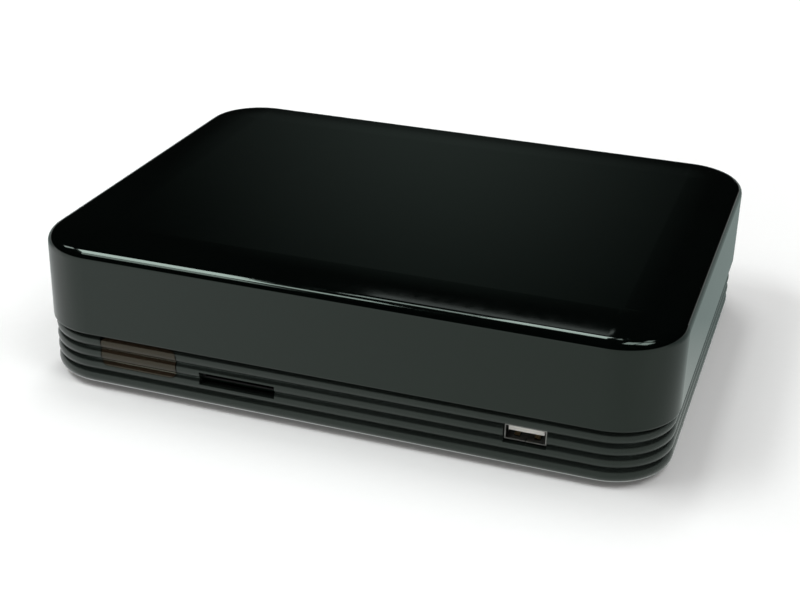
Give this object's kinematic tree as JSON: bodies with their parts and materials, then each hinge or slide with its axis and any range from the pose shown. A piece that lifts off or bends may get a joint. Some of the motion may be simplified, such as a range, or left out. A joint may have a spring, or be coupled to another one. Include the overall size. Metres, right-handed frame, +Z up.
{
  "type": "media player",
  "caption": "Low black media player case with a glossy lid over a ribbed base, a card slot, front and rear sockets, and a slide-out hard drive tray.",
  "frame": {"origin": "centre of the footprint, on the surface the feet stand on", "axes": "+X to the right seen from the front, -Y towards the front, +Z up; the tray leaves towards -X"},
  "size_m": [0.212, 0.161, 0.051],
  "materials": {
    "cover_black": "high gloss piano black",
    "base_black": "satin",
    "window_tint": "tinted, gloss",
    "rubber": "matte",
    "screw_steel": "zinc plated",
    "handle_black": "gloss",
    "spring_steel": "bright",
    "sheet_steel": "galvanised",
    "drive_alloy": "cast, dark coated",
    "drive_lid": "satin",
    "board_green": "solder mask",
    "connector_black": "moulded",
    "chip_black": "moulded",
    "heatsink": "black anodised",
    "capacitor": "sleeved can",
    "inductor": "ferrite",
    "port_metal": "nickel plated",
    "tongue_white": "moulded",
    "spring_bronze": "phosphor bronze",
    "led_lens": "clear lens",
    "panel_black": "fine texture",
    "collar_colours": "coloured rings",
    "insert_white": "moulded",
    "contact_gold": "gold flash",
    "switch_black": "gloss",
    "fan_black": "moulded"
  },
  "bodies": {
    "case": {"backplane_board": "board_green", "backplane_header": "connector_black", "backplane_socket": "connector_black", "base_shell": "base_black", "board_screws": "screw_steel", "cage_screws": "screw_steel", "capacitors": "capacitor", "cover_screws": "screw_steel", "dc_jack": "connector_black", "dc_jack_pin": "contact_gold", "drive_cage": "sheet_steel", "fan_frame": "fan_black", "fan_screws": "screw_steel", "front_usb_shell": "port_metal", "front_usb_springs": "spring_bronze", "front_usb_tongue": "tongue_white", "hdmi_shell": "port_metal", "hdmi_tongue": "connector_black", "heatsink": "heatsink", "inductors": "inductor", "ir_receiver": "chip_black", "ir_window": "window_tint", "lan_contacts": "contact_gold", "lan_jack": "port_metal", "main_board": "board_green", "main_chip": "chip_black", "memory_chips": "chip_black", "power_switch_body": "connector_black", "rca_barrels": "port_metal", "rca_block": "connector_black", "rca_collars": "collar_colours", "rca_inserts": "insert_white", "rear_panel": "panel_black", "rear_usb_shell": "port_metal", "rear_usb_tongue": "connector_black", "reset_switch": "connector_black", "rubber_feet": "rubber", "sd_socket": "port_metal", "status_leds": "led_lens", "support_chips": "chip_black", "top_cover": "cover_black", "usb_b_shell": "port_metal", "usb_b_tongue": "connector_black"},
    "tray": {"tray_bezel": "cover_black", "handle_pin": "screw_steel", "release_spring": "spring_steel", "tray_frame": "sheet_steel", "bezel_screws": "screw_steel", "drive_body": "drive_alloy", "drive_lid": "drive_lid", "drive_board": "board_green", "drive_connector": "connector_black", "drive_screws": "screw_steel"},
    "handle": {"tray_handle": "handle_black"},
    "button": {"release_button": "handle_black"},
    "rocker": {"power_rocker": "switch_black"},
    "reset": {"reset_button": "switch_black"},
    "rotor": {"fan_rotor": "fan_black"}
  },
  "joints": [
    {"name": "tray_slide", "type": "slide", "parent": "case", "child": "tray", "axis": [-1, 0, 0], "range_m": [0, 0.15]},
    {"name": "handle_swing", "type": "hinge", "parent": "tray", "child": "handle", "pos_m": [-0.1038, 0.032, 0.03383], "axis": [0, 0, -1], "range_deg": [0, 80]},
    {"name": "release_press", "type": "slide", "parent": "tray", "child": "button", "axis": [1, 0, 0], "range_m": [0, 0.0016], "stiffness_N_per_m": 400, "springref_m": -0.001, "deforming": ["release_spring"]},
    {"name": "power_rock", "type": "hinge", "parent": "case", "child": "rocker", "pos_m": [-0.075, 0.0713, 0.0255], "axis": [1, 0, 0], "range_deg": [0, 18]},
    {"name": "reset_press", "type": "slide", "parent": "case", "child": "reset", "axis": [0, -1, 0], "range_m": [0, 0.0006], "stiffness_N_per_m": 600, "springref_m": -0.0006},
    {"name": "fan_spin", "type": "hinge", "parent": "case", "child": "rotor", "pos_m": [0.068, 0.074, 0.034], "axis": [0, 1, 0], "continuous": true}
  ]
}
